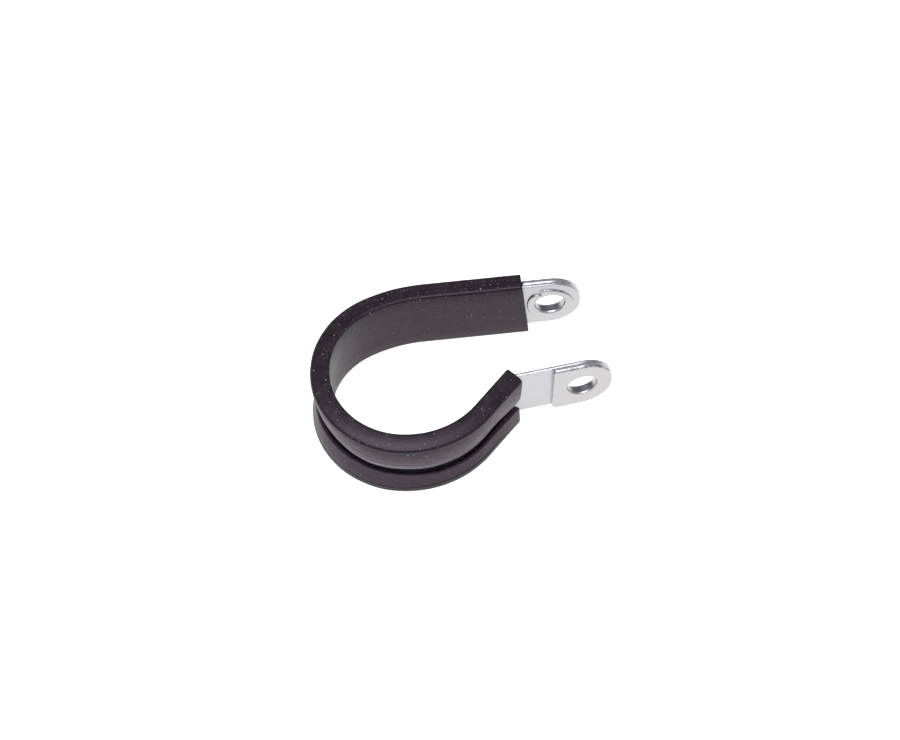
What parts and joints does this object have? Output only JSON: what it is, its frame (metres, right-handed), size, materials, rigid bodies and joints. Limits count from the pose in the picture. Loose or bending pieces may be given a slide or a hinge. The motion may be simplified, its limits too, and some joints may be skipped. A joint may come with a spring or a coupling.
{
  "type": "rubber-lined p clip",
  "caption": "Open P-shaped pipe clip: a bent zinc-plated steel strip with drilled, plate-stiffened ears, lined with a grooved rubber channel that grips a pipe or cable.",
  "frame": {"origin": "on the axis of the pipe that the loop holds, at half the strip's width", "axes": "+Z along the pipe, +X along the straight arm from the loop towards the ears, +Y from the bent arm towards the straight arm"},
  "size_m": [0.0532, 0.0342, 0.015],
  "materials": {
    "zinc_strip": "bright zinc plating on rolled steel strip",
    "zinc_plate": "bright zinc plating on a stamped plate",
    "black_rubber": "matt extruded rubber with a faint bloom"
  },
  "bodies": {
    "root": {"band": "zinc_strip", "rubber_liner": "black_rubber", "straight_arm_plate": "zinc_plate", "bent_arm_plate": "zinc_plate"}
  },
  "joints": []
}
